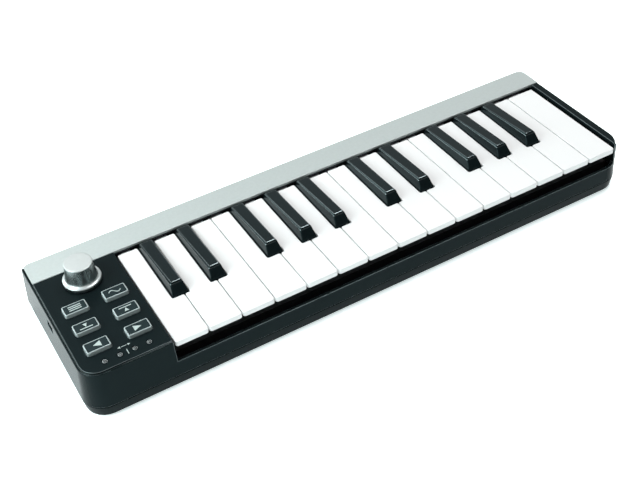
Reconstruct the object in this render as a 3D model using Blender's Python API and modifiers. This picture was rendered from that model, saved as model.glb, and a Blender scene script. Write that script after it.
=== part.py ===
"""A 25-key mini MIDI keyboard, built from its separate pieces.

Lengths are in millimetres and become metres in point(). They are measured from the key bed's corner:
x from the left edge of the first white key, y from the white keys' fronts, z from their tops.
High notes lie toward +X and the player's side is -Y. The case stands on z = 0 in the scene.
"""

from math import copysign, pi, sin, tan

import bmesh
import bpy
from mathutils import Matrix, Vector

MM = 0.001
GAP = 0.3  # clearance between neighbouring pieces

# Case
CASE_LENGTH = 332.55
CASE_DEPTH = 98.4
FRONT_RADIUS = 12.0  # of the case's front corners, at the seam
REAR_RADIUS = 4.5
KEY_TOP_HEIGHT = 28.2  # of the white keys, over the table
CONTROL_WIDTH = 48.45  # of the control block, from the case's left end to the first key
KEY_SETBACK = 2.2  # of the keys' fronts, behind the case's front at the seam
DECK_Z = 1.5
SEAM_Z = -20.3
UNDERSIDE_Z = -27.4
FLOOR_Z = -KEY_TOP_HEIGHT
WALL = 2.0
FLARE = 1.75  # how far the front, left and rear walls lean out from the deck to the seam
TUCK = 1.5  # how far the lower shell tucks in below the seam
GROOVE_DEPTHS = (0.35, 1.2)  # the groove beside the deck, from the deck's outline inward
GROOVE_Z = 0.3  # the groove's floor
GROOVE_END_RISE = 0.6  # the groove's floor climbs this far along the control block's front
DECK_UNDER_Z = -0.9
LIP_Z = -11.4
INNER_WALL_Z = -14.2
FLOOR_INNER_Z = -25.0

# Keys
PITCH = 18.5
WHITE_KEYS = 15
WHITE_GAP = 0.5
WHITE_LENGTH = 75.2
WHITE_THICKNESS = 3.2
NOTCH_WIDTH = 10.0
NOTCH_FRONT = 29.0
# For each black key of an octave: how many white keys lie before it, and its shift from their boundary
BLACK_KEYS = {
    "c_sharp": (1, -1.8),
    "d_sharp": (2, 1.4),
    "f_sharp": (4, -2.5),
    "g_sharp": (5, -0.2),
    "a_sharp": (6, 2.0),
}
WHITE_NAMES = ("c", "d", "e", "f", "g", "a", "b")
BLACK_WIDTH = 9.2
BLACK_REAR = 75.2
BLACK_TOP_Z = (6.0, 3.0)  # at the front and at the rear
STEM_WIDTH = 6.0
STEM_BOTTOM_Z = -6.0
TAIL_TOP_Z = -3.5
TAIL_BOTTOM_Z = -9.6
TAIL_START = 70.0
PIVOT_Y = 88.0
PIVOT_Z = -7.0
ROD_RADIUS = 1.25
KEYS_WIDTH = WHITE_KEYS * PITCH

# Key opening in the top case
OPENING_LEFT = -0.8
OPENING_RIGHT = KEYS_WIDTH + 1.6
OPENING_REAR = 77.8

# Silver trim along the rear
TRIM_FRONT = 77.7
TRIM_LEFT = FLARE - CONTROL_WIDTH + 1.2
TRIM_UNDER_Z = 0.2

# Controls
BUTTON_X = (-33.2, -11.8)
BUTTON_Y = (16.85, 31.9, 47.0)
BUTTON_NAMES = (("octave_down", "octave_up"), ("pitch_down", "pitch_up"), ("control_mode", "modulation"))
BUTTON_LENGTH = 12.4
BUTTON_DEPTH = 7.0
BUTTON_TOP_Z = 3.5
BUTTON_BOTTOM_Z = -3.5
BUTTON_RADIUS = 1.2
FLANGE = 1.1
KNOB_X = -22.4
KNOB_Y = 65.6
KNOB_TOP_Z = 14.5
SHAFT_RADIUS = 3.0
LAMP_X = (-33.6, -25.7, -18.0, -10.5)
LAMP_Y = 6.4
LAMP_RADIUS = 1.2

# Inside
BOARD_TOP_Z = -7.6
BOARD_THICKNESS = 1.2
FRAME_TOP_Z = -12.3
FRAME_THICKNESS = 1.7
CONTACT_Y = 55.0
USB_Y = 50.0
USB_Z = -5.3
USB_WIDTH = 7.6
USB_HEIGHT = 3.9
CASE_BOSSES = ((-39.9, 6.1), (-40.4, 88.5))
FRAME_BOSSES = ((25.0, 30.0), (252.0, 30.0), (25.0, 78.0), (252.0, 78.0))
BOSS_RADIUS = 2.8
BOSS_FOOT_Z = -23.3
SCREW_RADIUS = 1.2
SCREW_HEAD_RADIUS = 2.6
SCREW_HEAD_Z = (-27.1, -25.3)
SCREW_TIP_Z = -17.7
FOOT_RADIUS = 5.0
FOOT_SPREAD = (146.0, 36.0)

CASE_CENTRE = Vector((CASE_LENGTH / 2 - CONTROL_WIDTH, CASE_DEPTH / 2 - KEY_SETBACK))


def point(x, y, z):
    """A place in the scene, in metres, of a place measured from the key bed's corner."""
    return Vector((x - CASE_CENTRE.x, y - CASE_CENTRE.y, z + KEY_TOP_HEIGHT)) * MM


def clear_scene():
    for obj in list(bpy.data.objects):
        bpy.data.objects.remove(obj, do_unlink=True)


def new_collection(name):
    collection = bpy.data.collections.new(name)
    bpy.context.scene.collection.children.link(collection)
    return collection


def material(name, colour, roughness, metallic=0.0):
    made = bpy.data.materials.new(name)
    made.use_nodes = True
    shader = made.node_tree.nodes["Principled BSDF"]
    shader.inputs["Base Color"].default_value = (*colour, 1.0)
    shader.inputs["Roughness"].default_value = roughness
    shader.inputs["Metallic"].default_value = metallic
    return made


# Outlines


def rounded_polygon(corners, inset=0.0, steps=2):
    """The points of an anticlockwise outline of (x, y, radius) corners, moved inward by inset."""
    points = []
    for index, (x, y, radius) in enumerate(corners):
        corner = Vector((x, y))
        back = (Vector(corners[index - 1][:2]) - corner).normalized()
        ahead = (Vector(corners[(index + 1) % len(corners)][:2]) - corner).normalized()
        half = back.angle(ahead) / 2
        turn = copysign(1.0, -back.cross(ahead))
        bisector = (back + ahead).normalized()
        moved = corner + bisector * turn * inset / sin(half)
        arc_radius = max(radius - turn * inset, 0.02)
        if radius == 0:
            points.append(moved)
            continue
        centre = moved + bisector * arc_radius / sin(half)
        start = moved + back * arc_radius / tan(half) - centre
        for step in range(steps + 1):
            angle = turn * (pi - 2 * half) * step / steps
            points.append(centre + Matrix.Rotation(angle, 2) @ start)
    return points


def wall_lean(z):
    """How far the upper shell's leaning walls lie inside the seam's outline at a height."""
    return FLARE * (z - SEAM_Z) / (DECK_Z - SEAM_Z)


def case_outline(lean, depth):
    """The case's outline at the seam, with the leaning walls moved inward by lean and all walls by depth.

    The right wall stands upright. Seven points turn each corner.
    """
    left = -CONTROL_WIDTH + lean
    front = -KEY_SETBACK + lean
    right = CASE_LENGTH - CONTROL_WIDTH
    rear = CASE_DEPTH - KEY_SETBACK - lean
    corners = (
        (left, front, FRONT_RADIUS - lean),
        (right, front, FRONT_RADIUS),
        (right, rear, REAR_RADIUS),
        (left, rear, REAR_RADIUS - lean),
    )
    return rounded_polygon(corners, depth, steps=6)


def upper_ring(z, depth):
    """A ring at a height, inside the upper shell's outer face by depth."""
    return at_height(case_outline(wall_lean(z), depth), z)


def lower_ring(z, depth):
    """A ring at a height, inside the seam's outline by depth."""
    return at_height(case_outline(0.0, depth), z)


def rectangle(x, y, length, depth, radius, inset=0.0, steps=2):
    """A rounded rectangle's outline about a centre."""
    signs = ((-1, -1), (1, -1), (1, 1), (-1, 1))
    corners = [(x + sx * length / 2, y + sy * depth / 2, radius) for sx, sy in signs]
    return rounded_polygon(corners, inset, steps)


def at_height(outline, z):
    return [point(spot.x, spot.y, z) for spot in outline]


# Solids


def mesh_object(name, mesh_data, look=None, smooth=False):
    """An object of a bmesh: a part if it has a look, and otherwise a helper for a Boolean."""
    bmesh.ops.recalc_face_normals(mesh_data, faces=mesh_data.faces)
    mesh = bpy.data.meshes.new(name)
    mesh_data.to_mesh(mesh)
    mesh_data.free()
    obj = bpy.data.objects.new(name, mesh)
    if look is None:
        HELPERS.objects.link(obj)
        obj.hide_render = True
        obj.display_type = "WIRE"
    else:
        PARTS.objects.link(obj)
        mesh.materials.append(look)
    for face in mesh.polygons:
        face.use_smooth = smooth
    return obj


def loft(name, rings, look=None, smooth=False):
    """A closed solid through rings of as many points each, capped at both ends."""
    mesh_data = bmesh.new()
    loops = [[mesh_data.verts.new(spot) for spot in ring] for ring in rings]
    for lower, upper in zip(loops, loops[1:]):
        for index in range(len(lower)):
            following = (index + 1) % len(lower)
            mesh_data.faces.new((lower[index], lower[following], upper[following], upper[index]))
    mesh_data.faces.new(reversed(loops[0]))
    mesh_data.faces.new(loops[-1])
    return mesh_object(name, mesh_data, look, smooth)


def box(name, low, high, look=None):
    mesh_data = bmesh.new()
    bmesh.ops.create_cube(mesh_data, size=1.0)
    first = point(*low)
    last = point(*high)
    middle = Matrix.Translation((first + last) / 2)
    stretch = Matrix.Diagonal((*(last - first), 1.0))
    bmesh.ops.transform(mesh_data, matrix=middle @ stretch, verts=mesh_data.verts)
    return mesh_object(name, mesh_data, look)


def cylinder(name, x, y, radius, bottom, top, look=None, sides=12, tip_radius=None):
    """A standing cylinder, or a cone if its tip has another radius."""
    mesh_data = bmesh.new()
    bmesh.ops.create_cone(
        mesh_data,
        cap_ends=True,
        segments=sides,
        radius1=radius * MM,
        radius2=(radius if tip_radius is None else tip_radius) * MM,
        depth=(top - bottom) * MM,
        matrix=Matrix.Translation(point(x, y, (bottom + top) / 2)),
    )
    return mesh_object(name, mesh_data, look, smooth=look is not None)


def cross_bar(name, left, right, radius, look=None, sides=12):
    """A cylinder along X on the keys' pivot axis."""
    mesh_data = bmesh.new()
    lie = Matrix.Rotation(pi / 2, 4, "Y")
    bmesh.ops.create_cone(
        mesh_data,
        cap_ends=True,
        segments=sides,
        radius1=radius * MM,
        radius2=radius * MM,
        depth=(right - left) * MM,
        matrix=Matrix.Translation(point((left + right) / 2, PIVOT_Y, PIVOT_Z)) @ lie,
    )
    return mesh_object(name, mesh_data, look, smooth=look is not None)


def boolean(obj, tool, operation):
    step = obj.modifiers.new(f"{operation.lower()} {tool.name}", "BOOLEAN")
    step.operation = operation
    step.object = tool
    step.solver = "EXACT"


def cut(obj, *tools):
    for tool in tools:
        boolean(obj, tool, "DIFFERENCE")


def join(obj, *tools):
    for tool in tools:
        boolean(obj, tool, "UNION")


def move_origin(obj, x, y, z):
    """Set an object's origin on its joint's axis and leave its shape where it is."""
    spot = point(x, y, z)
    obj.data.transform(Matrix.Translation(-spot))
    obj.location = spot


# Case


def groove_cutter(name):
    """The groove round the deck's left end, and the step outside it.

    It starts at the rear left corner and grows shallow along the control block's front.
    """
    outer, inner = GROOVE_DEPTHS
    rim_z = 1.05
    profile = (
        (-0.7, 3.0),
        (-0.7, rim_z),
        (outer, rim_z),
        (outer, GROOVE_Z),
        (inner, GROOVE_Z),
        (inner, 3.0),
    )
    lines = [(case_outline(FLARE, depth), depth, z) for depth, z in profile]
    turns = (21, 22, 23, 24, 25, 26, 27, 0, 1, 2, 3, 4, 5, 6)
    rings = [[point(*outline[turn], z) for outline, _, z in lines] for turn in turns]
    front = FLARE - KEY_SETBACK
    rings.append([point(OPENING_LEFT + 3, front + depth, z + GROOVE_END_RISE) for _, depth, z in lines])
    return loft(name, rings)


def button_hole(name, x, y):
    outline = rectangle(x, y, BUTTON_LENGTH, BUTTON_DEPTH, BUTTON_RADIUS, -GAP)
    return loft(name, [at_height(outline, -2.0), at_height(outline, 3.0)])


def top_case(look):
    levels = ((SEAM_Z, 0.0), (0.4, 0.0), (1.1, 0.3), (DECK_Z, 1.0))
    shell = loft("top_case", [upper_ring(z, depth) for z, depth in levels], look)
    cut(shell, loft("case_hollow", [upper_ring(z, WALL) for z in (SEAM_Z - 1, DECK_UNDER_Z)]))
    for side, left, front in (("left", OPENING_LEFT - WALL, 0.6), ("right", OPENING_RIGHT, 2.4)):
        join(shell, box(f"{side}_inner_wall", (left, front, INNER_WALL_Z), (left + WALL, 94.0, 0.0)))
    for number, (x, y) in enumerate(CASE_BOSSES):
        join(shell, cylinder(f"case_boss_{number}", x, y, BOSS_RADIUS, BOSS_FOOT_Z, -0.5))
        cut(shell, cylinder(f"case_boss_hole_{number}", x, y, SCREW_RADIUS + GAP, -30.0, SCREW_TIP_Z + 1))
    cut(
        shell,
        box("key_opening", (OPENING_LEFT, -10.0, LIP_Z), (OPENING_RIGHT, OPENING_REAR, 10.0)),
        box("trim_seat", (TRIM_LEFT - GAP, TRIM_FRONT - GAP, TRIM_UNDER_Z - GAP), (300.0, 110.0, 10.0)),
        groove_cutter("deck_groove"),
        box("ribbon_notch", (-4.0, 59.5, -15.0), (0.0, 66.5, -8.7)),
        box("usb_opening", (-60.0, USB_Y - 4.2, USB_Z - 2.3), (-42.0, USB_Y + 4.2, USB_Z + 2.3)),
        cylinder("knob_hole", KNOB_X, KNOB_Y, 4.0, -3.0, 3.0, sides=16),
    )
    for row, y in enumerate(BUTTON_Y):
        for column, x in enumerate(BUTTON_X):
            cut(shell, button_hole(f"button_hole_{row}{column}", x, y))
    for number, x in enumerate(LAMP_X):
        cut(shell, cylinder(f"lamp_hole_{number}", x, LAMP_Y, LAMP_RADIUS + GAP, -3.0, 3.0))
    return shell


def bottom_case(look):
    levels = ((UNDERSIDE_Z, TUCK), (UNDERSIDE_Z + 0.8, TUCK - 0.5), (SEAM_Z - GAP, 0.0))
    tray = loft("bottom_case", [lower_ring(z, depth) for z, depth in levels], look)
    rim = WALL + GAP + 0.15
    join(tray, loft("inner_rim", [lower_ring(z, rim) for z in (SEAM_Z - 2, SEAM_Z + 1.5)]))
    cut(tray, loft("tray_hollow", [lower_ring(z, rim + 1) for z in (FLOOR_INNER_Z, 0.0)]))
    for number, (x, y) in enumerate(CASE_BOSSES + FRAME_BOSSES):
        join(tray, cylinder(f"stub_{number}", x, y, 4.5, FLOOR_INNER_Z - 1, BOSS_FOOT_Z - GAP))
        cut(tray, cylinder(f"screw_head_hole_{number}", x, y, SCREW_HEAD_RADIUS + 0.4, -30.0, -25.0))
        cut(tray, cylinder(f"screw_hole_{number}", x, y, SCREW_RADIUS + GAP, -30.0, -20.0))
    for number, (x, y) in enumerate(foot_places()):
        cut(tray, cylinder(f"foot_seat_{number}", x, y, FOOT_RADIUS + GAP, -30.0, FLOOR_Z + 1.7, sides=20))
    return tray


def rear_trim(look):
    """The silver strip: the rear end of the deck's outline, cut off square behind the keys."""
    levels = ((TRIM_UNDER_Z, 0.05), (DECK_Z - 0.35, 0.05), (DECK_Z, 0.45))
    right = CASE_LENGTH - CONTROL_WIDTH
    rear = CASE_DEPTH - KEY_SETBACK - FLARE
    corners = (
        (TRIM_LEFT, 60.0, 1.0),
        (right, 60.0, 1.0),
        (right, rear, REAR_RADIUS),
        (TRIM_LEFT, rear, REAR_RADIUS - FLARE),
    )
    trim = loft("rear_trim", [at_height(rounded_polygon(corners, depth), z) for z, depth in levels], look)
    cut(trim, box("trim_front", (-60.0, -10.0, -5.0), (300.0, TRIM_FRONT, 5.0)))
    return trim


def foot_places():
    spread_x, spread_y = FOOT_SPREAD
    signs = ((-1, -1), (-1, 1), (1, -1), (1, 1))
    return [(CASE_CENTRE.x + sx * spread_x, CASE_CENTRE.y + sy * spread_y) for sx, sy in signs]


def rubber_feet(look):
    for number, (x, y) in enumerate(foot_places(), 1):
        cylinder(f"rubber_foot_{number}", x, y, FOOT_RADIUS, FLOOR_Z, FLOOR_Z + 1.4, look, sides=20)


def case_screws(look):
    low, high = SCREW_HEAD_Z
    for number, (x, y) in enumerate(CASE_BOSSES + FRAME_BOSSES, 1):
        screw = cylinder(f"case_screw_{number}", x, y, SCREW_HEAD_RADIUS, low, high, look)
        join(screw, cylinder(f"screw_shank_{number}", x, y, SCREW_RADIUS, high - 0.5, SCREW_TIP_Z, sides=8))
        for name, half_x, half_y in (("a", 1.5, 0.3), ("b", 0.3, 1.5)):
            slot_low = (x - half_x, y - half_y, low - 1)
            cut(screw, box(f"screw_slot_{name}{number}", slot_low, (x + half_x, y + half_y, low + 0.8)))


# Keys


def black_centres():
    """The name and the centre line of each black key."""
    octaves = (WHITE_KEYS - 1) // 7
    for octave in range(octaves):
        for name, (whites_before, shift) in BLACK_KEYS.items():
            yield f"{name}_{octave + 1}", (octave * 7 + whites_before) * PITCH + shift


def white_outline(left, right):
    """Corners of a white key that lies between two edges, with a notch for each black key beside it."""
    front_radius = 1.5
    rear_radius = 0.9
    corners = [(left, 0.0, front_radius), (right, 0.0, front_radius)]
    rear_left = left
    rear_right = right
    for _, centre in black_centres():
        if abs(centre - right) < NOTCH_WIDTH / 2:
            rear_right = centre - NOTCH_WIDTH / 2
        if abs(centre - left) < NOTCH_WIDTH / 2:
            rear_left = centre + NOTCH_WIDTH / 2
    if rear_right < right:
        corners += [(right, NOTCH_FRONT, rear_radius), (rear_right, NOTCH_FRONT, rear_radius)]
    corners += [(rear_right, WHITE_LENGTH, rear_radius), (rear_left, WHITE_LENGTH, rear_radius)]
    if rear_left > left:
        corners += [(rear_left, NOTCH_FRONT, rear_radius), (left, NOTCH_FRONT, rear_radius)]
    return corners, (rear_left + rear_right) / 2


def add_stem(key, centre, front):
    """The rib under a key, the tail behind it, and the bore for the pivot rod."""
    left = centre - STEM_WIDTH / 2
    right = centre + STEM_WIDTH / 2
    join(
        key,
        box(f"{key.name}_rib", (left, front, STEM_BOTTOM_Z), (right, TAIL_START + 1, -1.5)),
        box(f"{key.name}_tail", (left, TAIL_START, TAIL_BOTTOM_Z), (right, PIVOT_Y + 2.6, TAIL_TOP_Z)),
    )
    cut(key, cross_bar(f"{key.name}_bore", left - 1, right + 1, ROD_RADIUS + GAP + 0.1))
    move_origin(key, centre, PIVOT_Y, PIVOT_Z)


def white_key(index, look):
    name = f"white_key_{WHITE_NAMES[index % 7]}_{index // 7 + 1}"
    left = index * PITCH + WHITE_GAP / 2
    corners, centre = white_outline(left, left + PITCH - WHITE_GAP)
    levels = ((-WHITE_THICKNESS, 0.0), (-0.4, 0.0), (0.0, 0.4))
    key = loft(name, [at_height(rounded_polygon(corners, inset), z) for z, inset in levels], look)
    add_stem(key, centre, 8.0)


def black_ring(centre, front, rear, half_front, half_rear, front_z, rear_z):
    """A ring round a black key that may slope and taper toward the rear."""
    corners = (
        (centre - half_front, front, 0.6),
        (centre + half_front, front, 0.6),
        (centre + half_rear, rear, 0.6),
        (centre - half_rear, rear, 0.6),
    )
    ring = []
    for spot in rounded_polygon(corners):
        share = (spot.y - front) / (rear - front)
        ring.append(point(spot.x, spot.y, front_z + share * (rear_z - front_z)))
    return ring


def black_key(name, centre, look):
    half = BLACK_WIDTH / 2
    front = NOTCH_FRONT + 0.6
    top_front, top_rear = BLACK_TOP_Z
    rings = (
        black_ring(centre, front, BLACK_REAR, half, half, -WHITE_THICKNESS, -WHITE_THICKNESS),
        black_ring(centre, front, BLACK_REAR, half, half, 0.2, 0.2),
        black_ring(centre, front + 3.7, BLACK_REAR - 0.8, 3.2, 3.5, top_front - 1.1, top_rear - 0.4),
        black_ring(centre, front + 4.4, BLACK_REAR - 1.2, 2.3, 3.2, top_front, top_rear),
    )
    add_stem(loft(f"black_key_{name}", rings, look), centre, front + 4.0)


def key_pivot_rod(look):
    cross_bar("key_pivot_rod", 0.4, KEYS_WIDTH - 0.4, ROD_RADIUS, look)


def key_frame(look):
    """The plate under the keys, its two long ribs, the bosses and the combs that hold the rod."""
    bottom = FRAME_TOP_Z - FRAME_THICKNESS
    foot = FLOOR_INNER_Z + GAP
    frame = box("key_frame", (0.2, 6.0, bottom), (KEYS_WIDTH, 91.2, FRAME_TOP_Z), look)
    join(frame, box("front_rib", (0.2, 6.0, foot), (KEYS_WIDTH, 8.0, bottom + 0.5)))
    join(frame, box("rear_rib", (0.2, 89.2, foot), (KEYS_WIDTH, 91.2, bottom + 0.5)))
    for number, (x, y) in enumerate(FRAME_BOSSES):
        join(frame, cylinder(f"frame_boss_{number}", x, y, BOSS_RADIUS, BOSS_FOOT_Z, bottom + 0.5))
        cut(frame, cylinder(f"frame_boss_hole_{number}", x, y, SCREW_RADIUS + GAP, -30.0, SCREW_TIP_Z + 1))
    for number, x in enumerate(comb_places()):
        join(frame, box(f"comb_{number}", (x - 0.8, 83.5, bottom + 0.5), (x + 0.8, 91.2, -4.2)))
    cut(frame, cross_bar("rod_holes", -5.0, KEYS_WIDTH + 5.0, ROD_RADIUS + GAP))
    return frame


def comb_places():
    """Halfway between the tails of a white key and the black key after it, three times in each octave."""
    places = []
    for name, centre in black_centres():
        if name[0] in "cfa":
            places.append(centre - PITCH * 4 / 13)
    return places


def contact_board(look):
    underside = FRAME_TOP_Z + GAP
    box("contact_board", (1.5, 46.0, underside), (KEYS_WIDTH - 1.5, 67.0, underside + BOARD_THICKNESS), look)


def key_centres():
    """The centre line of every key's stem, from low to high."""
    centres = [centre for _, centre in black_centres()]
    for index in range(WHITE_KEYS):
        left = index * PITCH + WHITE_GAP / 2
        centres.append(white_outline(left, left + PITCH - WHITE_GAP)[1])
    return sorted(centres)


def contact_strip(look):
    """The rubber strip with one dome under each key."""
    base = FRAME_TOP_Z + BOARD_THICKNESS + 2 * GAP
    low = (2.0, CONTACT_Y - 4.5, base)
    strip = box("contact_strip", low, (KEYS_WIDTH - 2.0, CONTACT_Y + 4.5, base + 0.8), look)
    for number, centre in enumerate(key_centres()):
        dome = cylinder(f"dome_{number}", centre, CONTACT_Y, 2.6, base + 0.4, -8.3, sides=8, tip_radius=1.6)
        join(strip, dome)
    return strip


def key_felts(look):
    box("key_rest_felt", (0.4, 11.0, FRAME_TOP_Z + GAP), (KEYS_WIDTH - 0.4, 18.0, -10.6), look)
    box("key_return_felt", (0.4, 79.5, TAIL_TOP_Z + GAP), (KEYS_WIDTH - 0.4, 84.5, DECK_UNDER_Z - GAP), look)


# Controls


def button(name, x, y, look):
    levels = ((BUTTON_BOTTOM_Z, 0.0), (BUTTON_TOP_Z - 0.35, 0.0), (BUTTON_TOP_Z, 0.35))
    rings = [
        at_height(rectangle(x, y, BUTTON_LENGTH, BUTTON_DEPTH, BUTTON_RADIUS, inset), z)
        for z, inset in levels
    ]
    cap = loft(f"{name}_button", rings, look)
    flange = rectangle(x, y, BUTTON_LENGTH, BUTTON_DEPTH, BUTTON_RADIUS, -FLANGE)
    join(cap, loft(f"{name}_flange", [at_height(flange, -2.2), at_height(flange, DECK_UNDER_Z - 0.4)]))


def control_buttons(look):
    for names, y in zip(BUTTON_NAMES, BUTTON_Y):
        for name, x in zip(names, BUTTON_X):
            button(name, x, y, look)


def turned(name, profile, x, y, look, steps):
    """A turned piece of (radius, z) points, which run down its outer side and back up inside."""
    mesh_data = bmesh.new()
    spots = [mesh_data.verts.new((radius * MM, 0.0, (z + KEY_TOP_HEIGHT) * MM)) for radius, z in profile]
    for first, second in zip(spots, spots[1:]):
        mesh_data.edges.new((first, second))
    obj = mesh_object(name, mesh_data, look, smooth=True)
    obj.location = point(x, y, -KEY_TOP_HEIGHT)
    screw = obj.modifiers.new("turn", "SCREW")
    screw.steps = steps
    screw.render_steps = steps
    screw.use_merge_vertices = True
    screw.merge_threshold = 0.00001
    return obj


def knob(look):
    bore = SHAFT_RADIUS + GAP
    profile = (
        (0.0, KNOB_TOP_Z),
        (7.0, KNOB_TOP_Z),
        (7.5, KNOB_TOP_Z - 0.5),
        (7.8, 9.0),
        (8.3, 5.2),
        (9.6, 4.3),
        (10.2, 3.5),
        (10.2, 2.4),
        (9.9, 2.0),
        (bore, 2.0),
        (bore, 11.0),
        (0.0, 11.0),
    )
    turned("knob", profile, KNOB_X, KNOB_Y, look, 28)


def potentiometer(body_look, shaft_look):
    bushing = SHAFT_RADIUS + GAP + 0.4
    low = (KNOB_X - 6, KNOB_Y - 6, BOARD_TOP_Z + GAP)
    body = box("potentiometer_body", low, (KNOB_X + 6, KNOB_Y + 6, -1.5), body_look)
    join(body, cylinder("bushing", KNOB_X, KNOB_Y, bushing, -2.0, 1.3, sides=16))
    cut(body, cylinder("bushing_bore", KNOB_X, KNOB_Y, SHAFT_RADIUS + GAP, -5.5, 3.0, sides=16))
    cylinder("potentiometer_shaft", KNOB_X, KNOB_Y, SHAFT_RADIUS, -5.2, 10.7, shaft_look, sides=16)


def led_light_pipe(look):
    low = (LAMP_X[0] - 2, LAMP_Y - 1.5, -3.0)
    pipe = box("led_light_pipe", low, (LAMP_X[-1] + 2, 11.5, DECK_UNDER_Z - GAP), look)
    for number, x in enumerate(LAMP_X):
        join(pipe, cylinder(f"lamp_post_{number}", x, LAMP_Y, LAMP_RADIUS, -2.0, DECK_Z - 0.1))
    return pipe


def button_mat(look):
    """The silicone mat whose domes lift the buttons."""
    base = BOARD_TOP_Z + GAP
    margin = 4.0
    low = (BUTTON_X[0] - margin, BUTTON_Y[0] - margin, base)
    mat = box("button_mat", low, (BUTTON_X[1] + margin, BUTTON_Y[-1] + margin, base + 0.8), look)
    for row, y in enumerate(BUTTON_Y):
        for column, x in enumerate(BUTTON_X):
            join(mat, cylinder(f"mat_dome_{row}{column}", x, y, 3.0, base + 0.4, -4.6, tip_radius=2.0))
    return mat


def main_board(look):
    box("main_board", (-43.9, 9.5, BOARD_TOP_Z - BOARD_THICKNESS), (-3.2, 84.5, BOARD_TOP_Z), look)


def controller_chip(look):
    box("controller_chip", (-40.0, 60.0, BOARD_TOP_Z + GAP), (-33.0, 67.0, BOARD_TOP_Z + GAP + 1.0), look)


def usb_socket(shell_look, tongue_look):
    """The metal shell of a mini-B socket, open to the left, and the insulator inside it."""
    outer = -46.2
    inner = -39.8
    half_width = USB_WIDTH / 2
    half_height = USB_HEIGHT / 2
    shell = socket_prism("usb_socket_shell", outer, inner, half_width, half_height, shell_look)
    cut(shell, socket_prism("socket_hollow", outer - 1, inner + 1, half_width - 0.4, half_height - 0.4))
    low = (-45.6, USB_Y - 1.9, USB_Z - 0.1)
    tongue = box("usb_socket_tongue", low, (-40.4, USB_Y + 1.9, USB_Z + 0.7), tongue_look)
    join(tongue, box("tongue_root", (-41.4, USB_Y - 2.0, USB_Z - 1.0), (-40.0, USB_Y + 2.0, USB_Z + 1.0)))


def socket_prism(name, left, right, half_width, half_height, look=None):
    """A block along X with the two lower corners cut away, as the socket's plug has them."""
    corners = (
        (USB_Y - half_width, USB_Z + half_height),
        (USB_Y - half_width, USB_Z - half_height * 0.1),
        (USB_Y - half_width * 0.72, USB_Z - half_height),
        (USB_Y + half_width * 0.72, USB_Z - half_height),
        (USB_Y + half_width, USB_Z - half_height * 0.1),
        (USB_Y + half_width, USB_Z + half_height),
    )
    return loft(name, [[point(x, y, z) for y, z in corners] for x in (left, right)], look)


def ribbon_cable(look):
    """The flat cable from the main board's underside to the contact board."""
    path = ((-14.0, -9.1), (-10.0, -9.1), (-7.0, -9.6), (-3.5, -10.0), (4.0, -10.2))
    thickness = 0.35
    rings = []
    for x, z in path:
        low = z - thickness / 2
        high = z + thickness / 2
        rings.append([point(x, 60.5, low), point(x, 65.5, low), point(x, 65.5, high), point(x, 60.5, high)])
    loft("ribbon_cable", rings, look)


clear_scene()
PARTS = new_collection("midi_keyboard")
HELPERS = new_collection("cutters")

case_plastic = material("case_plastic", (0.018, 0.024, 0.026), 0.5)
top_case(case_plastic)
bottom_case(material("lower_case_plastic", (0.014, 0.018, 0.02), 0.45))
rear_trim(material("silver_trim", (0.62, 0.69, 0.68), 0.38, 0.6))
rubber_feet(material("foot_rubber", (0.02, 0.02, 0.02), 0.9))
case_screws(material("screw_steel", (0.45, 0.45, 0.46), 0.35, 1.0))

ivory_white = material("white_key_plastic", (0.9, 0.91, 0.91), 0.35)
for white_index in range(WHITE_KEYS):
    white_key(white_index, ivory_white)
gloss_black = material("black_key_plastic", (0.012, 0.016, 0.018), 0.18)
for black_name, black_centre in black_centres():
    black_key(black_name, black_centre, gloss_black)
key_pivot_rod(material("rod_steel", (0.6, 0.6, 0.62), 0.3, 1.0))
key_frame(material("frame_plastic", (0.012, 0.013, 0.014), 0.6))
contact_board(material("contact_board_laminate", (0.02, 0.12, 0.05), 0.5))
contact_strip(material("contact_rubber", (0.35, 0.36, 0.36), 0.8))
key_felts(material("black_felt", (0.012, 0.012, 0.013), 0.95))

control_buttons(material("button_silver", (0.5, 0.56, 0.56), 0.4, 0.3))
knob(material("knob_silver", (0.7, 0.74, 0.73), 0.35, 0.6))
potentiometer_case = material("potentiometer_case", (0.3, 0.3, 0.31), 0.4, 0.8)
potentiometer(potentiometer_case, material("shaft_steel", (0.6, 0.6, 0.61), 0.3, 1.0))
led_light_pipe(material("clear_lens", (0.55, 0.6, 0.6), 0.15))
button_mat(material("mat_silicone", (0.6, 0.6, 0.6), 0.7))
main_board(material("main_board_laminate", (0.02, 0.12, 0.05), 0.5))
controller_chip(material("chip_epoxy", (0.015, 0.015, 0.016), 0.55))
socket_metal = material("socket_metal", (0.65, 0.65, 0.66), 0.25, 1.0)
usb_socket(socket_metal, material("socket_insulator", (0.02, 0.02, 0.02), 0.5))
ribbon_cable(material("ribbon_grey", (0.4, 0.42, 0.45), 0.6))
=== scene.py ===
"""Looks for the mini MIDI keyboard: detailed keys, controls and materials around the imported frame.

Lengths are in metres, in the frame's own axes: +X toward the high notes, -Y the player's side, +Z up.
"""

from math import copysign, cos, pi, radians, sin, tan

import bmesh
import bpy
from mathutils import Matrix, Vector

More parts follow.
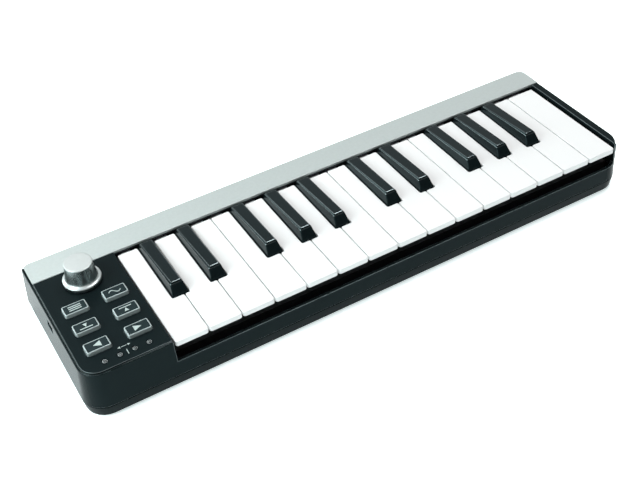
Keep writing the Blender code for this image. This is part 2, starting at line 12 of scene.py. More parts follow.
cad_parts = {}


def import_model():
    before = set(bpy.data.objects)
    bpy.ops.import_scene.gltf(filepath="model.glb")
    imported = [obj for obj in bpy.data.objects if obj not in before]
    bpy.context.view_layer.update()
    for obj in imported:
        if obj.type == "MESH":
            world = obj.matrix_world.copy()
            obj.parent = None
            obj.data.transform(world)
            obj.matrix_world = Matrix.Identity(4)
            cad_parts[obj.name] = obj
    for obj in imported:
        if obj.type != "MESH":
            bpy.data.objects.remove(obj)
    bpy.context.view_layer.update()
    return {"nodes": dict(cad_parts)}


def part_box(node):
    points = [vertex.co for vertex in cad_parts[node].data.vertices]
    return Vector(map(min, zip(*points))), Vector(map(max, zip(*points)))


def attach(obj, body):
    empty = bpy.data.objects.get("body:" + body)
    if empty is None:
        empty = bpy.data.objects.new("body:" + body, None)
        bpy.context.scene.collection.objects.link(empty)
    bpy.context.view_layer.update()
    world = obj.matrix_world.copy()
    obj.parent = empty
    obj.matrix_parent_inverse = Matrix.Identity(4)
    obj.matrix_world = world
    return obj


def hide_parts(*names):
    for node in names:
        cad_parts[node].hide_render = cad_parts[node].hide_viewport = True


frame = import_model()
NODES = frame["nodes"]
MM = 0.001
MICRON = 0.000001
FIRST_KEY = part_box("white_key_c_1")
KEY_BED = Vector((FIRST_KEY[0].x, FIRST_KEY[0].y, FIRST_KEY[1].z))

# Camera
CAMERA_PLACE = Vector((-99.57, -350.38, 371.08)) * MM  # from the first white key's front left top corner
CAMERA_HEADING = 62.52
CAMERA_TILT = -41.18
CAMERA_ROLL = -4.25
CAMERA_LENS = 59.7

# Keys
KEY_EDGE = 0.45 * MM
WHITE_FRONT_RADIUS = 1.5 * MM
WHITE_REAR_RADIUS = 0.9 * MM
WHITE_LOWER_EDGE = 0.25 * MM
WHITE_THICKNESS = 3.2 * MM
WHITE_LENGTH = 75.2 * MM
WHITE_RIB_SETBACK = 8.0 * MM
NOTCH_HALF = 5.0 * MM
NOTCH_CLEARANCE = 0.6 * MM
BLACK_LENGTH = 45.2 * MM
BLACK_TOP_FALL = 3.0 * MM
BLACK_RADIUS = 0.7 * MM
BLACK_RIB_SETBACK = 4.0 * MM
RIB_TOP_DROP = 1.5 * MM
RIB_DROP = 6.0 * MM
STEM_HALF = 3.0 * MM
TAIL_LENGTH = 20.6 * MM
TAIL_TOP_DROP = 3.5 * MM
TAIL_BOTTOM_DROP = 9.6 * MM

# Buttons
BUTTON_RADIUS = 0.85 * MM
BUTTON_EDGE = 0.35 * MM
BUTTON_FLANGE = 1.1 * MM
BUTTON_FLANGE_TOP = 2.2 * MM
BUTTON_FLANGE_THICKNESS = 0.9 * MM
BUTTON_FRAME = 0.42 * MM
BUTTON_TRAY_DEPTH = 0.15 * MM
INSET_GAP = 0.12 * MM
INSET_RADIUS = 0.45 * MM
INSET_SINK = 0.02 * MM
PRINT_SINK = 0.03 * MM
PRINT_HEIGHT = 0.04 * MM

# Knob
KNOB_BORE = 3.3 * MM
KNOB_BORE_DEPTH = 9.0 * MM
KNOB_TOP_RADIUS = 7.5 * MM
KNOB_TOP_EDGE = 0.55 * MM
KNOB_PAINTED_LIGHT_TILT = 0.35  # faces that look up by more than this take the lighter copy of the metal, a painted light

# Lamps
LAMP_SHARES = (0.0, 7.9 / 23.1, 15.6 / 23.1, 1.0)  # places along the row
LAMP_RIM_RADIUS = 1.75 * MM
LAMP_RIM_EDGE = 0.2 * MM
LAMP_LENS_RADIUS = 1.15 * MM
LAMP_DOME_RADIUS = 0.8 * MM

# Case
TRIM_EDGE = 0.3 * MM
TRIM_FRONT_RADIUS = 0.4 * MM
TRIM_RIGHT_RADIUS = 4.4 * MM
TRIM_LEFT_RADIUS = 2.7 * MM
TOP_CASE_EDGE = 0.25 * MM
BOTTOM_CASE_EDGE = 0.3 * MM
DECK_BLEND = 1.2 * MM  # height over which the wall finish turns into the deck finish


# Geometry helpers

SHARP_EDGE = 35  # degrees between faces from which soften rounds the edge
SAME_PLANE = 1  # degrees between faces up to which soften joins them
FLAT_TURN = 30  # degrees up to which a turn is shaded smooth
BLACK_FLAT_TURN = 22
KNOB_FLAT_TURN = 40


def new_object(name, mesh_data, look, smooth=True):
    bmesh.ops.recalc_face_normals(mesh_data, faces=mesh_data.faces)
    mesh = bpy.data.meshes.new(name)
    mesh_data.to_mesh(mesh)
    mesh_data.free()
    mesh.polygons.foreach_set("use_smooth", [smooth] * len(mesh.polygons))
    mesh.materials.append(look)
    obj = bpy.data.objects.new(name, mesh)
    bpy.context.scene.collection.objects.link(obj)
    return obj


def rounded_polygon(corners, inset=0.0, steps=5):
    """The points of an anticlockwise outline of (x, y, radius) corners, moved inward by inset."""
    points = []
    for index, (x, y, radius) in enumerate(corners):
        corner = Vector((x, y))
        back = (Vector(corners[index - 1][:2]) - corner).normalized()
        ahead = (Vector(corners[(index + 1) % len(corners)][:2]) - corner).normalized()
        half = back.angle(ahead) / 2
        turn = copysign(1.0, -back.cross(ahead))
        bisector = (back + ahead).normalized()
        moved = corner + bisector * turn * inset / sin(half)
        arc_radius = max(radius - turn * inset, 0.02 * MM)
        centre = moved + bisector * arc_radius / sin(half)
        start = moved + back * arc_radius / tan(half) - centre
        for step in range(steps + 1):
            angle = turn * (pi - 2 * half) * step / steps
            points.append(centre + Matrix.Rotation(angle, 2) @ start)
    return points


def add_loft(mesh_data, rings, edge_bands=()):
    """Skin rings of as many points each, and cap both ends.

    The bands of the given numbers take the second material.
    """
    loops = [[mesh_data.verts.new(spot) for spot in ring] for ring in rings]
    for band, (lower, upper) in enumerate(zip(loops, loops[1:])):
        for index in range(len(lower)):
            following = (index + 1) % len(lower)
            face = mesh_data.faces.new((lower[index], lower[following], upper[following], upper[index]))
            face.material_index = int(band in edge_bands)
    mesh_data.faces.new(reversed(loops[0]))
    mesh_data.faces.new(loops[-1])


def level(outline, z):
    return [Vector((spot.x, spot.y, z)) for spot in outline]


def add_block(mesh_data, low, high):
    centre = (low + high) / 2
    size = high - low
    matrix = Matrix.Translation(centre) @ Matrix.Diagonal((*size, 1.0))
    bmesh.ops.create_cube(mesh_data, size=1.0, matrix=matrix)


def edge_levels(top, radius):
    """Heights and insets up a rounded top edge, in steps of 22.5 degrees."""
    turns = [radians(22.5 * step) for step in range(5)]
    return [(top - radius * (1 - sin(turn)), radius * (1 - cos(turn))) for turn in turns]


def keep_flat_faces(obj, angle=FLAT_TURN):
    """Shade smooth over small turns and keep the flat faces flat."""
    mesh = obj.data
    mesh.polygons.foreach_set("use_smooth", [True] * len(mesh.polygons))
    mesh.set_sharp_from_angle(angle=radians(angle))
    normals = obj.modifiers.new("flat faces", "WEIGHTED_NORMAL")
    normals.keep_sharp = True


def soften(node_name, width):
    """Round the edges of a CAD node with modifiers, which leave its mesh as it is.

    A second material of the node, if it has one, goes onto the rounded edges; on the top case it is a
    painted highlight.
    """
    node = NODES[node_name]
    node.data.polygons.foreach_set("use_smooth", [True] * len(node.data.polygons))
    weld = node.modifiers.new("join faces", "WELD")
    weld.merge_threshold = 10 * MICRON
    flatten = node.modifiers.new("merge flat faces", "DECIMATE")
    flatten.decimate_type = "DISSOLVE"
    flatten.angle_limit = radians(SAME_PLANE)
    bevel = node.modifiers.new("round edges", "BEVEL")
    bevel.width = width
    bevel.segments = 2
    bevel.limit_method = "ANGLE"
    bevel.angle_limit = radians(SHARP_EDGE)
    bevel.use_clamp_overlap = False
    bevel.material = len(node.data.materials) - 1
    normals = node.modifiers.new("flat faces", "WEIGHTED_NORMAL")
    normals.keep_sharp = True


# Materials


def surface(name, colour, roughness, metallic=0.0, specular=0.5, tint=(1.0, 1.0, 1.0)):
    """A plain material, which grain or case_finish then gives its detail."""
    made = bpy.data.materials.new(name)
    made.use_nodes = True
    shader = made.node_tree.nodes["Principled BSDF"]
    shader.inputs["Base Color"].default_value = (*colour, 1.0)
    shader.inputs["Roughness"].default_value = roughness
    shader.inputs["Metallic"].default_value = metallic
    shader.inputs["Specular IOR Level"].default_value = specular
    shader.inputs["Specular Tint"].default_value = (*tint, 1.0)
    return made


def noise(tree, scale, stretch=(1.0, 1.0, 1.0)):
    """Noise in the object's own coordinates, with its grain drawn out by stretch."""
    place = tree.nodes.new("ShaderNodeTexCoord")
    mapping = tree.nodes.new("ShaderNodeMapping")
    mapping.inputs["Scale"].default_value = stretch
    texture = tree.nodes.new("ShaderNodeTexNoise")
    texture.inputs["Scale"].default_value = scale
    texture.inputs["Detail"].default_value = 4.0
    tree.links.new(place.outputs["Object"], mapping.inputs["Vector"])
    tree.links.new(mapping.outputs["Vector"], texture.inputs["Vector"])
    return texture.outputs["Fac"]


def spread(tree, value, low, high, limits=(0.3, 0.7)):
    """Map a value between limits onto a range; the usual limits suit noise."""
    ranged = tree.nodes.new("ShaderNodeMapRange")
    ranged.inputs["From Min"].default_value = limits[0]
    ranged.inputs["From Max"].default_value = limits[1]
    ranged.inputs["To Min"].default_value = low
    ranged.inputs["To Max"].default_value = high
    tree.links.new(value, ranged.inputs["Value"])
    return ranged.outputs["Result"]


def grain(look, scale, depth, roughness, stretch=(1.0, 1.0, 1.0), shade=None):
    """Give a material a fine grain of a depth in metres, and vary its roughness and its colour.

    Shade is the darkest and the lightest factor on the colour.
    """
    tree = look.node_tree
    shader = tree.nodes["Principled BSDF"]
    fine = noise(tree, scale, stretch)
    bump = tree.nodes.new("ShaderNodeBump")
    bump.inputs["Strength"].default_value = 1.0
    bump.inputs["Distance"].default_value = depth
    tree.links.new(fine, bump.inputs["Height"])
    tree.links.new(bump.outputs["Normal"], shader.inputs["Normal"])
    broad = noise(tree, scale / 12, stretch)
    tree.links.new(spread(tree, broad, *roughness), shader.inputs["Roughness"])
    if shade is not None:
        base = tuple(shader.inputs["Base Color"].default_value)[:3]
        mix = tree.nodes.new("ShaderNodeMix")
        mix.data_type = "RGBA"
        mix.inputs["A"].default_value = (*[channel * shade[0] for channel in base], 1.0)
        mix.inputs["B"].default_value = (*[channel * shade[1] for channel in base], 1.0)
        tree.links.new(spread(tree, noise(tree, scale / 5, stretch), 0.0, 1.0), mix.inputs["Factor"])
        tree.links.new(mix.outputs["Result"], shader.inputs["Base Color"])
    return look


def case_finish(look):
    """Give the case its texture, which is coarse on the deck and finer on the walls below it."""
    tree = look.node_tree
    shader = tree.nodes["Principled BSDF"]
    place = tree.nodes.new("ShaderNodeTexCoord")
    parts = tree.nodes.new("ShaderNodeSeparateXYZ")
    tree.links.new(place.outputs["Object"], parts.inputs["Vector"])
    deck = tree.nodes.new("ShaderNodeMapRange")
    deck.inputs["From Min"].default_value = KEY_BED.z
    deck.inputs["From Max"].default_value = KEY_BED.z + DECK_BLEND
    tree.links.new(parts.outputs["Z"], deck.inputs["Value"])
    fine = noise(tree, 2600)
    bump = tree.nodes.new("ShaderNodeBump")
    bump.inputs["Distance"].default_value = 30 * MICRON
    strength = spread(tree, deck.outputs["Result"], 0.12, 0.9, (0.0, 1.0))
    roughness = spread(tree, deck.outputs["Result"], 0.27, 0.45, (0.0, 1.0))
    tree.links.new(strength, bump.inputs["Strength"])
    tree.links.new(fine, bump.inputs["Height"])
    tree.links.new(bump.outputs["Normal"], shader.inputs["Normal"])
    tree.links.new(roughness, shader.inputs["Roughness"])
    return look


def dress(node_names, *looks):
    """Put materials on CAD nodes. A second one is for the edges that soften rounds; on the top case it
    paints a highlight there.
    """
    for name in node_names:
        node = NODES[name]
        node.data.materials.clear()
        for look in looks:
            node.data.materials.append(look)


COOL = (0.6, 0.95, 1.0)  # tint of the reflection on black plastic
TURNED = (1.0, 1.0, 0.15)  # stretch of the grain up the knob's side
RIBBED = (0.05, 1.0, 1.0)  # stretch of the grain along the ribbon's wires

CASE = case_finish(surface("case_plastic", (0.0042, 0.0078, 0.0088), 0.42, specular=0.065, tint=COOL))
# Painted highlight: a lighter, metallic copy of the case plastic for the top case's rounded edges,
# standing in for the light lines along them.
CASE_EDGE_PAINTED_HIGHLIGHT = grain(surface("case_edge_painted_highlight", (0.11, 0.135, 0.14), 0.3, 0.85), 2600, 4 * MICRON, (0.26, 0.36))
LOWER_CASE = surface("lower_case_plastic", (0.0038, 0.0066, 0.0074), 0.34, specular=0.05, tint=COOL)
grain(LOWER_CASE, 3500, 6 * MICRON, (0.28, 0.38))
SILVER = surface("silver_trim", (0.44, 0.486, 0.478), 0.5, 0.2)
grain(SILVER, 3200, 6 * MICRON, (0.38, 0.44), shade=(0.97, 1.03))

WHITE = surface("white_key_plastic", (0.805, 0.812, 0.812), 0.32, specular=0.4)
grain(WHITE, 900, 4 * MICRON, (0.28, 0.38))
GLOSS_BLACK = surface("black_key_plastic", (0.0046, 0.008, 0.009), 0.12, specular=0.17, tint=COOL)
grain(GLOSS_BLACK, 900, 3 * MICRON, (0.11, 0.17))
# Painted highlight: a lighter, metallic copy of the black plastic that stands in for glints on the black
# keys' edges.
KEY_EDGE_PAINTED_HIGHLIGHT = surface("black_key_painted_highlight", (0.15, 0.18, 0.185), 0.24, 0.9)
grain(KEY_EDGE_PAINTED_HIGHLIGHT, 900, 3 * MICRON, (0.16, 0.26))

BUTTON_SILVER = surface("button_silver", (0.43, 0.5, 0.5), 0.5, 0.0, 0.3)
grain(BUTTON_SILVER, 3000, 5 * MICRON, (0.3, 0.42), shade=(0.94, 1.05))
BUTTON_INSET = surface("button_inset", (0.009, 0.0155, 0.0175), 0.34, specular=0.16, tint=COOL)
grain(BUTTON_INSET, 2500, 5 * MICRON, (0.3, 0.4))
PRINT = surface("panel_print", (0.41, 0.49, 0.475), 0.5)
grain(PRINT, 4000, 3 * MICRON, (0.45, 0.6), shade=(0.85, 1.1))
KNOB = surface("knob_silver", (0.28, 0.325, 0.325), 0.3, 0.95)
grain(KNOB, 2200, 4 * MICRON, (0.22, 0.34), TURNED, (0.93, 1.04))
# Painted light: a lighter copy of the knob metal for the faces that look up, the top and the skirt's upper
# slope.
KNOB_TOP_PAINTED_LIGHT = surface("knob_top_painted_light", (0.52, 0.56, 0.555), 0.36, 0.8)
grain(KNOB_TOP_PAINTED_LIGHT, 2200, 3 * MICRON, (0.33, 0.4), TURNED, (0.97, 1.02))
LENS = surface("lamp_lens", (0.03, 0.04, 0.042), 0.12, specular=0.8)
grain(LENS, 2000, 4 * MICRON, (0.08, 0.16))

STEEL = surface("steel", (0.55, 0.55, 0.56), 0.3, 1.0)
grain(STEEL, 1800, 6 * MICRON, (0.24, 0.4), shade=(0.9, 1.05))
RUBBER = surface("rubber", (0.02, 0.021, 0.022), 0.85)
grain(RUBBER, 2400, 40 * MICRON, (0.75, 0.95), shade=(0.8, 1.25))
GREY_RUBBER = surface("grey_rubber", (0.35, 0.36, 0.36), 0.75)
grain(GREY_RUBBER, 2400, 20 * MICRON, (0.65, 0.85), shade=(0.9, 1.08))
FELT = surface("black_felt", (0.01, 0.01, 0.011), 0.95)
grain(FELT, 3500, 120 * MICRON, (0.88, 1.0), shade=(0.7, 1.25))
BOARD = surface("circuit_board", (0.015, 0.1, 0.045), 0.4)
grain(BOARD, 1400, 10 * MICRON, (0.32, 0.5), shade=(0.75, 1.25))
FRAME_PLASTIC = surface("frame_plastic", (0.009, 0.01, 0.011), 0.5)
grain(FRAME_PLASTIC, 2600, 20 * MICRON, (0.45, 0.6))
INSULATOR = surface("socket_insulator", (0.012, 0.012, 0.013), 0.5)
grain(INSULATOR, 2600, 10 * MICRON, (0.45, 0.6))
RIBBON = surface("ribbon_grey", (0.42, 0.44, 0.46), 0.5)
grain(RIBBON, 1500, 20 * MICRON, (0.45, 0.6), RIBBED, (0.8, 1.15))
CLEAR = surface("clear_lens", (0.5, 0.54, 0.54), 0.14)
grain(CLEAR, 2000, 3 * MICRON, (0.1, 0.2))



# Keys


def black_boxes():
    return [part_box(name) for name in NODES if name.startswith("black_key_")]


def white_corners(node_name):
    """Corners of a white key's outline, notched beside each black key, and the middle of its rear."""
    low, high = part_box(node_name)
    left = rear_left = low.x
    right = rear_right = high.x
    front = low.y
    rear = front + WHITE_LENGTH
    notch_front = min(box[0].y for box in black_boxes()) - NOTCH_CLEARANCE
    for black_low, black_high in black_boxes():
        middle = (black_low.x + black_high.x) / 2
        if abs(middle - right) < NOTCH_HALF:
            rear_right = middle - NOTCH_HALF
        if abs(middle - left) < NOTCH_HALF:
            rear_left = middle + NOTCH_HALF
    corners = [(left, front, WHITE_FRONT_RADIUS), (right, front, WHITE_FRONT_RADIUS)]
    if rear_right < right:
        corners += [(right, notch_front, WHITE_REAR_RADIUS), (rear_right, notch_front, WHITE_REAR_RADIUS)]
    corners += [(rear_right, rear, WHITE_REAR_RADIUS), (rear_left, rear, WHITE_REAR_RADIUS)]
    if rear_left > left:
        corners += [(rear_left, notch_front, WHITE_REAR_RADIUS), (left, notch_front, WHITE_REAR_RADIUS)]
    return corners, (rear_left + rear_right) / 2


def add_stem(mesh_data, middle, front, rear, top):
    """The rib under a key and the tail behind it."""
    tail_start = rear - TAIL_LENGTH
    add_block(
        mesh_data,
        Vector((middle - STEM_HALF, front, top - RIB_DROP)),
        Vector((middle + STEM_HALF, tail_start + 1 * MM, top - RIB_TOP_DROP)),
    )
    add_block(
        mesh_data,
        Vector((middle - STEM_HALF, tail_start, top - TAIL_BOTTOM_DROP)),
        Vector((middle + STEM_HALF, rear, top - TAIL_TOP_DROP)),
    )


def white_key(node_name):
    low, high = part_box(node_name)
    corners, middle = white_corners(node_name)
    bottom = high.z - WHITE_THICKNESS
    levels = [(bottom, WHITE_LOWER_EDGE), (bottom + WHITE_LOWER_EDGE, 0.0)]
    levels += edge_levels(high.z, KEY_EDGE)
    mesh_data = bmesh.new()
    add_loft(mesh_data, [level(rounded_polygon(corners, inset), z) for z, inset in levels])
    add_stem(mesh_data, middle, low.y + WHITE_RIB_SETBACK, high.y, high.z)
    key = new_object(f"detailed_{node_name}", mesh_data, WHITE)
    keep_flat_faces(key)
    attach(key, node_name)
    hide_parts(node_name)


def black_ring(span, insets, halves, heights, radius=BLACK_RADIUS):
    """One level of a black key. Each pair gives a value at the key's front and one at its rear."""
    middle, front, rear = span
    front = front + insets[0]
    rear = rear - insets[1]
    corners = (
        (middle - halves[0], front, radius),
        (middle + halves[0], front, radius),
        (middle + halves[1], rear, radius),
        (middle - halves[1], rear, radius),
    )
    ring = []
    for spot in rounded_polygon(corners, steps=4):
        share = (spot.y - front) / (rear - front)
        ring.append(Vector((spot.x, spot.y, heights[0] + share * (heights[1] - heights[0]))))
    return ring


def black_key_rings(span, half, top):
    """The levels of a black key, from its underside up past its sides to its sloping top."""
    base = KEY_BED.z
    bottom = base - WHITE_THICKNESS
    skirt = base - 0.6 * MM
    rear_top = top - BLACK_TOP_FALL
    foot = (base + 0.4 * MM, base + 0.3 * MM)
    side = (base + 1.3 * MM, rear_top - 1.5 * MM)
    edge_start = (top - 1.15 * MM, rear_top - 0.5 * MM)
    edge_end = (top - 0.9 * MM, rear_top - 0.35 * MM)
    rim = (top - 0.12 * MM, rear_top - 0.06 * MM)
    return (
        black_ring(span, (0.0, 0.0), (half, half), (bottom, bottom)),
        black_ring(span, (0.0, 0.0), (half, half), (skirt, skirt)),
        black_ring(span, (0.25 * MM, 0.0), (half - 0.2 * MM, half - 0.2 * MM), foot),
        black_ring(span, (0.7 * MM, 0.1 * MM), (half - 0.45 * MM, half - 0.6 * MM), side),
        black_ring(span, (3.55 * MM, 0.5 * MM), (3.45 * MM, 3.7 * MM), edge_start),
        black_ring(span, (3.85 * MM, 0.6 * MM), (3.3 * MM, 3.6 * MM), edge_end),
        black_ring(span, (4.3 * MM, 0.95 * MM), (2.65 * MM, 3.28 * MM), rim, 0.5 * MM),
        black_ring(span, (4.55 * MM, 1.2 * MM), (2.4 * MM, 3.05 * MM), (top, rear_top), 0.4 * MM),
    )


def black_key(node_name):
    """A black key with a broad chamfer that narrows to the rear, and painted highlights on the edges round
    its top, which take a lighter, metallic copy of the black.
    """
    low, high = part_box(node_name)
    middle = (low.x + high.x) / 2
    span = (middle, low.y, low.y + BLACK_LENGTH)
    mesh_data = bmesh.new()
    # Two narrow bands, one above the chamfer and one round the rim of the top, take the painted highlight.
    add_loft(mesh_data, black_key_rings(span, (high.x - low.x) / 2, high.z), edge_bands=(4, 6))
    add_stem(mesh_data, middle, low.y + BLACK_RIB_SETBACK, high.y, KEY_BED.z)
    key = new_object(f"detailed_{node_name}", mesh_data, GLOSS_BLACK)
    key.data.materials.append(KEY_EDGE_PAINTED_HIGHLIGHT)
    keep_flat_faces(key, BLACK_FLAT_TURN)
    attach(key, node_name)
    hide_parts(node_name)


def keys():
    for name in sorted(NODES):
        if name.startswith("white_key_"):
            white_key(name)
        if name.startswith("black_key_"):
            black_key(name)


# Controls


def rectangle(low, high, radius, inset=0.0):
    corners = (
        (low.x, low.y, radius),
        (high.x, low.y, radius),
        (high.x, high.y, radius),
        (low.x, high.y, radius),
    )
    return rounded_polygon(corners, inset)


def button_cap(node_name):
    """The silver cap with its flange, and a shallow tray in its top for the inset."""
    low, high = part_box(node_name)
    flange = Vector((BUTTON_FLANGE, BUTTON_FLANGE, 0))
    cap_low = low + flange
    cap_high = high - flange
    levels = [(low.z, 0.0)] + edge_levels(high.z, BUTTON_EDGE)
    levels += [(high.z, BUTTON_FRAME), (high.z - BUTTON_TRAY_DEPTH, BUTTON_FRAME + 0.1 * MM)]
    rings = []
    for z, inset in levels:
        rings.append(level(rectangle(cap_low, cap_high, BUTTON_RADIUS, inset), z))
    mesh_data = bmesh.new()
    add_loft(mesh_data, rings)
    flange_top = low.z + BUTTON_FLANGE_TOP
    flange_levels = (flange_top - BUTTON_FLANGE_THICKNESS, flange_top)
    add_loft(mesh_data, [level(rectangle(low, high, BUTTON_RADIUS), z) for z in flange_levels])
    cap = new_object(f"detailed_{node_name}", mesh_data, BUTTON_SILVER)
    keep_flat_faces(cap)
    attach(cap, node_name)
    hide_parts(node_name)
    return cap_low, cap_high


def button_inset(node_name, cap_low, cap_high):
    """The dark plate in a cap's tray."""
    border = Vector((BUTTON_FRAME + INSET_GAP, BUTTON_FRAME + INSET_GAP, 0))
    top = cap_high.z
    levels = [(top - 0.2 * MM, 0.0), (top - 0.05 * MM, 0.0), (top - INSET_SINK, 0.04 * MM)]
    rings = []
    for z, inset in levels:
        rings.append(level(rectangle(cap_low + border, cap_high - border, INSET_RADIUS, inset), z))
    mesh_data = bmesh.new()
    add_loft(mesh_data, rings)
    plate = new_object(f"{node_name}_inset", mesh_data, BUTTON_INSET)
    keep_flat_faces(plate)
    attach(plate, node_name)


def printed(name, outlines, middle, z, body):
    """A raised print of flat outlines, each a list of points in millimetres about a middle."""
    mesh_data = bmesh.new()
    for outline in outlines:
        rings = []
        for height in (-PRINT_SINK, PRINT_HEIGHT):
            rings.append([Vector((middle.x + x * MM, middle.y + y * MM, z + height)) for x, y in outline])
        add_loft(mesh_data, rings)
    mark = new_object(name, mesh_data, PRINT, smooth=False)
    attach(mark, body)


def triangle(x, y, size, heading):
    """An isosceles triangle that points along a heading in degrees."""
    turn = Matrix.Rotation(radians(heading), 2)
    corners = ((size * 0.62, 0.0), (-size * 0.5, size * 0.52), (-size * 0.5, -size * 0.52))
    return [tuple(Vector((x, y)) + turn @ Vector(corner)) for corner in corners]


def bar(x, y, length, depth):
    left = x - length / 2
    right = x + length / 2
    near = y - depth / 2
    far = y + depth / 2
    return [(left, near), (right, near), (right, far), (left, far)]


def wave(length, height, width):
    """One period of a sine wave as a ribbon."""
    shares = [step / 24 for step in range(25)]
    spots = [(length * (share - 0.5), height * sin(2 * pi * share)) for share in shares]
    upper = [(x, y + width / 2) for x, y in reversed(spots)]
    lower = [(x, y - width / 2) for x, y in spots]
    return lower + upper


SYMBOLS = {
    "octave_down_button": [triangle(0.3, 0.0, 3.6, 180)],
    "octave_up_button": [triangle(-0.3, 0.0, 3.6, 0)],
    "pitch_down_button": [triangle(0.0, 0.5, 2.2, -90), bar(0.0, -1.5, 6.6, 0.55)],
    "pitch_up_button": [triangle(0.0, -0.5, 2.2, 90), bar(0.0, 1.5, 6.6, 0.55)],
    "control_mode_button": [bar(0.0, y, 6.6, 0.6) for y in (-1.35, 0.0, 1.35)],
    "modulation_button": [wave(6.4, 1.1, 0.6)],
}


def buttons():
    for node_name, outlines in SYMBOLS.items():
        cap_low, cap_high = button_cap(node_name)
        button_inset(node_name, cap_low, cap_high)
        middle = (cap_low + cap_high) / 2
        printed(f"{node_name}_symbol", outlines, middle, cap_high.z - INSET_SINK, node_name)


def turned(name, profile, middle, look, steps=96):
    """A turned piece of (radius, z) points that run up its outer side to the axis."""
    mesh_data = bmesh.new()
    rings = []
    for radius, z in profile:
        ring = []
        for step in range(steps):
            angle = 2 * pi * step / steps
            ring.append(Vector((middle.x + radius * cos(angle), middle.y + radius * sin(angle), z)))
        rings.append(ring)
    add_loft(mesh_data, rings)
    return new_object(name, mesh_data, look)


def arc(centre_radius, centre_z, radius, start, end, steps=6):
    """Profile points round an arc in the (radius, z) plane."""
    turns = [radians(start + (end - start) * step / steps) for step in range(steps + 1)]
    return [(centre_radius + radius * cos(turn), centre_z + radius * sin(turn)) for turn in turns]


def knob():
    """The knob: a flared skirt with a rounded rim, a tapered grip and a flat top."""
    low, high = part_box("knob")
    middle = (low + high) / 2
    outer = (high.x - low.x) / 2
    base = low.z
    top = high.z
    underside = [(KNOB_BORE, base + KNOB_BORE_DEPTH), (KNOB_BORE, base), (outer - 0.6 * MM, base)]
    skirt = arc(outer - 0.5 * MM, base + 0.5 * MM, 0.5 * MM, -90, 0, 3)
    skirt += arc(outer - 0.9 * MM, base + 1.5 * MM, 0.9 * MM, 0, 70, 5)
    waist = [(8.75 * MM, base + 2.75 * MM), (8.45 * MM, base + 3.3 * MM), (8.2 * MM, base + 4.4 * MM)]
    grip = [(7.95 * MM, base + 6.5 * MM), (7.75 * MM, base + 9 * MM)]
    grip += arc(KNOB_TOP_RADIUS - KNOB_TOP_EDGE, top - KNOB_TOP_EDGE, KNOB_TOP_EDGE, 0, 90, 5)
    face_rings = [(radius * MM, top) for radius in (6.2, 5.0, 3.8, 2.6, 1.4, 0.3)]
    profile = underside + skirt + waist + grip + face_rings
    piece = turned("detailed_knob", profile, middle, KNOB)
    piece.data.materials.append(KNOB_TOP_PAINTED_LIGHT)
    # Faces that look up take the lighter copy of the metal, painted light on the top.
    for face in piece.data.polygons:
        face.material_index = int(face.normal.z > KNOB_PAINTED_LIGHT_TILT)
    keep_flat_faces(piece, KNOB_FLAT_TURN)
    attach(piece, "control_knob")
    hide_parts("knob")


def lamp(number, middle, deck):
    """A lamp window: a rim on the deck and a domed lens in it."""
    rim_profile = [(1.25 * MM, deck - 0.4 * MM), (1.95 * MM, deck - 0.02 * MM)]
    rim_profile += arc(LAMP_RIM_RADIUS, deck, LAMP_RIM_EDGE, 0, 180)
    rim_profile += [(1.3 * MM, deck - 0.3 * MM)]
    rim = turned(f"lamp_rim_{number}", rim_profile, middle, CASE, 32)
    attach(rim, "case")
    lens_profile = [(LAMP_LENS_RADIUS, deck - 0.5 * MM)]
    lens_profile += arc(LAMP_LENS_RADIUS - LAMP_DOME_RADIUS, deck - 0.45 * MM, LAMP_DOME_RADIUS, 0, 85, 5)
    lens = turned(f"lamp_lens_{number}", lens_profile, middle, LENS, 32)
    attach(lens, "case")


def lamps():
    """The row of four lamp windows, with a tick and a two-headed arrow printed at its middle."""
    low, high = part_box("led_light_pipe")
    y = low.y + 1.5 * MM
    first = low.x + 2 * MM
    last = high.x - 2 * MM
    deck = high.z + 0.1 * MM
    for number, share in enumerate(LAMP_SHARES, 1):
        lamp(number, Vector((first + (last - first) * share, y, 0)), deck)
    centre = Vector(((first + last) / 2, y, 0))
    printed("octave_tick", [bar(0.25, -0.2, 0.35, 3.4)], centre, deck, "case")
    arrows = [triangle(-2.6, 4.2, 1.3, 180), triangle(2.6, 4.2, 1.3, 0), bar(0.0, 4.2, 2.8, 0.3)]
    printed("octave_symbol", arrows, centre, deck, "case")


# Case


def rear_trim():
    """The silver strip, with rounded ends at the rear and a fine rounded edge."""
    low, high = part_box("rear_trim")
    corners = (
        (low.x, low.y, TRIM_FRONT_RADIUS),
        (high.x, low.y, TRIM_FRONT_RADIUS),
        (high.x, high.y, TRIM_RIGHT_RADIUS),
        (low.x, high.y, TRIM_LEFT_RADIUS),
    )
    levels = [(low.z, 0.0)] + edge_levels(high.z, TRIM_EDGE)
    mesh_data = bmesh.new()
    add_loft(mesh_data, [level(rounded_polygon(corners, inset, steps=8), z) for z, inset in levels])
    strip = new_object("detailed_rear_trim", mesh_data, SILVER)
    keep_flat_faces(strip)
    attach(strip, "case")
    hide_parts("rear_trim")


def case():
    # The top case's rounded edges take the painted highlight.
    dress(("top_case",), CASE, CASE_EDGE_PAINTED_HIGHLIGHT)
    dress(("bottom_case",), LOWER_CASE)
    soften("top_case", TOP_CASE_EDGE)
    soften("bottom_case", BOTTOM_CASE_EDGE)
    rear_trim()


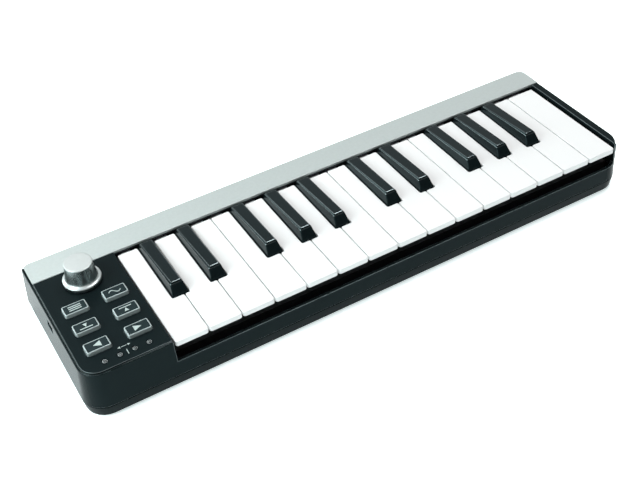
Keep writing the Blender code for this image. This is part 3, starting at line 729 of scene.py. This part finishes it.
def hidden_parts():
    dress([name for name in NODES if name.startswith("rubber_foot_")], RUBBER)
    dress([name for name in NODES if name.startswith("case_screw_")], STEEL)
    dress(("key_pivot_rod", "potentiometer_body", "potentiometer_shaft", "usb_socket_shell"), STEEL)
    dress(("key_frame",), FRAME_PLASTIC)
    dress(("contact_board", "main_board"), BOARD)
    dress(("contact_strip", "button_mat"), GREY_RUBBER)
    dress(("key_rest_felt", "key_return_felt"), FELT)
    dress(("usb_socket_tongue", "controller_chip"), INSULATOR)
    dress(("ribbon_cable",), RIBBON)
    dress(("led_light_pipe",), CLEAR)


# Studio


def floor():
    """A white floor that glows a little, so that shadows on it stay faint."""
    mesh_data = bmesh.new()
    bmesh.ops.create_grid(mesh_data, x_segments=1, y_segments=1, size=6.0)
    look = surface("studio_floor", (0.9, 0.93, 0.93), 0.9, specular=0.0)
    shader = look.node_tree.nodes["Principled BSDF"]
    shader.inputs["Emission Color"].default_value = (0.89, 1.0, 1.0, 1.0)
    shader.inputs["Emission Strength"].default_value = 0.62
    plane = new_object("studio_floor", mesh_data, look, smooth=False)


def area_light(name, place, aim, size, power, colour=(1.0, 1.0, 1.0)):
    data = bpy.data.lights.new(name, "AREA")
    data.shape = "RECTANGLE"
    data.size = size[0]
    data.size_y = size[1]
    data.energy = power
    data.color = colour
    fixture = bpy.data.objects.new(name, data)
    bpy.context.scene.collection.objects.link(fixture)
    fixture.location = place
    fixture.rotation_euler = (Vector(aim) - Vector(place)).to_track_quat("-Z", "Y").to_euler()


def world():
    """A studio that is bright behind the keyboard and dim on the player's side."""
    sky = bpy.data.worlds.new("studio")
    bpy.context.scene.world = sky
    sky.use_nodes = True
    tree = sky.node_tree
    background = tree.nodes["Background"]
    place = tree.nodes.new("ShaderNodeTexCoord")
    parts = tree.nodes.new("ShaderNodeSeparateXYZ")
    tree.links.new(place.outputs["Generated"], parts.inputs["Vector"])
    background.inputs["Color"].default_value = (0.98, 1.0, 1.0, 1.0)
    tree.links.new(spread(tree, parts.outputs["Y"], 0.12, 0.8, (-0.1, 0.6)), background.inputs["Strength"])


def camera():
    data = bpy.data.cameras.new("camera")
    data.lens = CAMERA_LENS
    data.sensor_width = 36.0
    data.clip_start = 0.01
    viewer = bpy.data.objects.new("camera", data)
    bpy.context.scene.collection.objects.link(viewer)
    heading = radians(CAMERA_HEADING)
    tilt = radians(CAMERA_TILT)
    forward = Vector((cos(tilt) * cos(heading), cos(tilt) * sin(heading), sin(tilt)))
    aim = forward.to_track_quat("-Z", "Y").to_matrix().to_4x4()
    place = KEY_BED + CAMERA_PLACE
    viewer.matrix_world = Matrix.Translation(place) @ aim @ Matrix.Rotation(radians(CAMERA_ROLL), 4, "Z")
    bpy.context.scene.camera = viewer


def studio():
    floor()
    world()
    area_light("key_light", (0.42, 0.1, 1.3), (0.05, 0.0, 0.0), (0.6, 0.6), 10)
    area_light("rear_light", (-0.19, 0.8, 0.9), (0.0, 0.0, 0.0), (0.35, 0.35), 1.2)
    area_light("front_fill", (-0.9, -1.0, 1.7), (0.0, 0.0, 0.0), (1.6, 1.6), 6)
    area_light("left_card", (-0.5, -0.03, 0.3), (-0.2, -0.02, 0.0), (0.2, 0.4), 2.1, (0.88, 1.0, 1.0))
    area_light("edge_card", (-0.55, 0.5, 0.3), (0.0, 0.0, 0.0), (0.35, 0.3), 1.4, (0.9, 1.0, 1.0))
    camera()
    bpy.context.scene.view_settings.view_transform = "Standard"


keys()
buttons()
knob()
lamps()
case()
hidden_parts()
studio()
